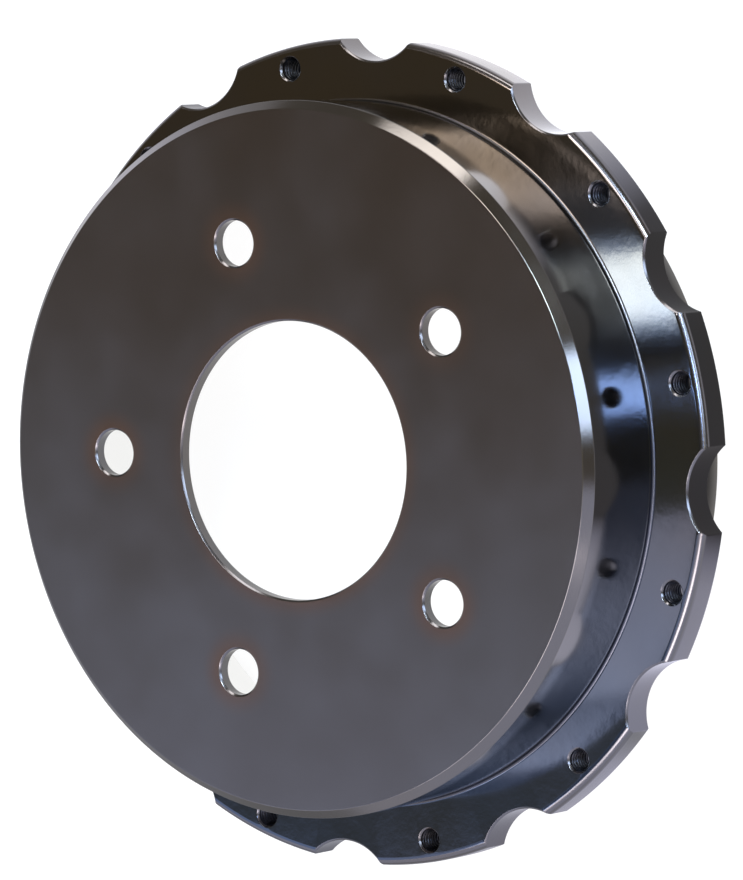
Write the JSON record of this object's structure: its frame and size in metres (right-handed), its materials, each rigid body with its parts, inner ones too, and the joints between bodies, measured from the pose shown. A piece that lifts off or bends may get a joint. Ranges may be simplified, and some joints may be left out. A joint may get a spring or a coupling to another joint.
{
  "type": "brake rotor hat",
  "caption": "Round stepped hat for a two-piece brake disc: flat mounting face with a centre bore and stud holes, scalloped outer flange with tapped holes, and a brake drum inside.",
  "frame": {"origin": "centre of the rear rim's plane, which is the bottom centre of the box", "axes": "+Z is the axis of rotation, from the open rear to the mounting face; +X runs through one stud hole and one rotor bolt hole"},
  "size_m": [0.235, 0.235, 0.064],
  "materials": {
    "coated_iron": "machined all over, with a thin dark brown-black semi-gloss coating"
  },
  "bodies": {
    "root": {"rotor_hat": "coated_iron"}
  },
  "joints": []
}
